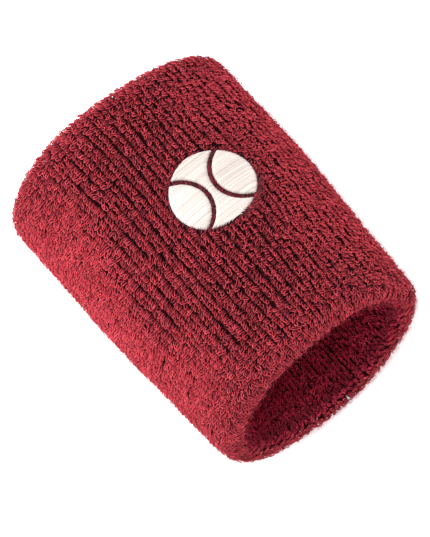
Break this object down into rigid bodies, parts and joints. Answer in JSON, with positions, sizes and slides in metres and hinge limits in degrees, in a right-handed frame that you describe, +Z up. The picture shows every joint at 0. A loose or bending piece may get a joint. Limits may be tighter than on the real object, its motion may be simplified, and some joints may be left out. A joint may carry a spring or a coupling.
{
  "type": "sweat wristband",
  "caption": "Long terry sweat wristband: a folded double tube of looped knit with rolled cuffs, elastic yarns inside and a small embroidered ball on the back.",
  "frame": {"origin": "on the resting surface, under the centre of the band", "axes": "+Y along the bore, away from the wider opening; +Z up, through the embroidered side; +X to the right, seen from the wider opening"},
  "size_m": [0.067, 0.092, 0.044],
  "materials": {
    "terry_knit": "cotton-rich terry loops, matt with a soft pile sheen",
    "seam_thread": "spun polyester overlock thread",
    "covered_elastic": "elastane core wound with nylon",
    "satin_thread": "white trilobal embroidery thread, satin gloss",
    "tonal_thread": "dark red embroidery thread, low gloss",
    "backing_felt": "non-woven stabiliser, matt",
    "bobbin_thread": "fine white bobbin thread"
  },
  "bodies": {
    "palm_half": {"terry_sleeve_palm": "terry_knit", "closing_seam_palm": "seam_thread", "elastic_yarn_01_palm": "covered_elastic", "elastic_yarn_02_palm": "covered_elastic", "elastic_yarn_03_palm": "covered_elastic", "elastic_yarn_04_palm": "covered_elastic", "elastic_yarn_05_palm": "covered_elastic", "elastic_yarn_06_palm": "covered_elastic", "elastic_yarn_07_palm": "covered_elastic", "elastic_yarn_08_palm": "covered_elastic", "elastic_yarn_09_palm": "covered_elastic", "elastic_yarn_10_palm": "covered_elastic"},
    "back_half": {"terry_sleeve_back": "terry_knit", "closing_seam_back": "seam_thread", "elastic_yarn_01_back": "covered_elastic", "elastic_yarn_02_back": "covered_elastic", "elastic_yarn_03_back": "covered_elastic", "elastic_yarn_04_back": "covered_elastic", "elastic_yarn_05_back": "covered_elastic", "elastic_yarn_06_back": "covered_elastic", "elastic_yarn_07_back": "covered_elastic", "elastic_yarn_08_back": "covered_elastic", "elastic_yarn_09_back": "covered_elastic", "elastic_yarn_10_back": "covered_elastic", "satin_field_left": "satin_thread", "satin_field_centre": "satin_thread", "satin_field_right": "satin_thread", "knockdown_stitching": "tonal_thread", "stabiliser_backing": "backing_felt", "bobbin_stitching": "bobbin_thread"}
  },
  "joints": [
    {"name": "stretch", "type": "slide", "parent": "palm_half", "child": "back_half", "axis": [0, 0, 1], "range_m": [0, 0.04], "stiffness_N_per_m": 180}
  ]
}
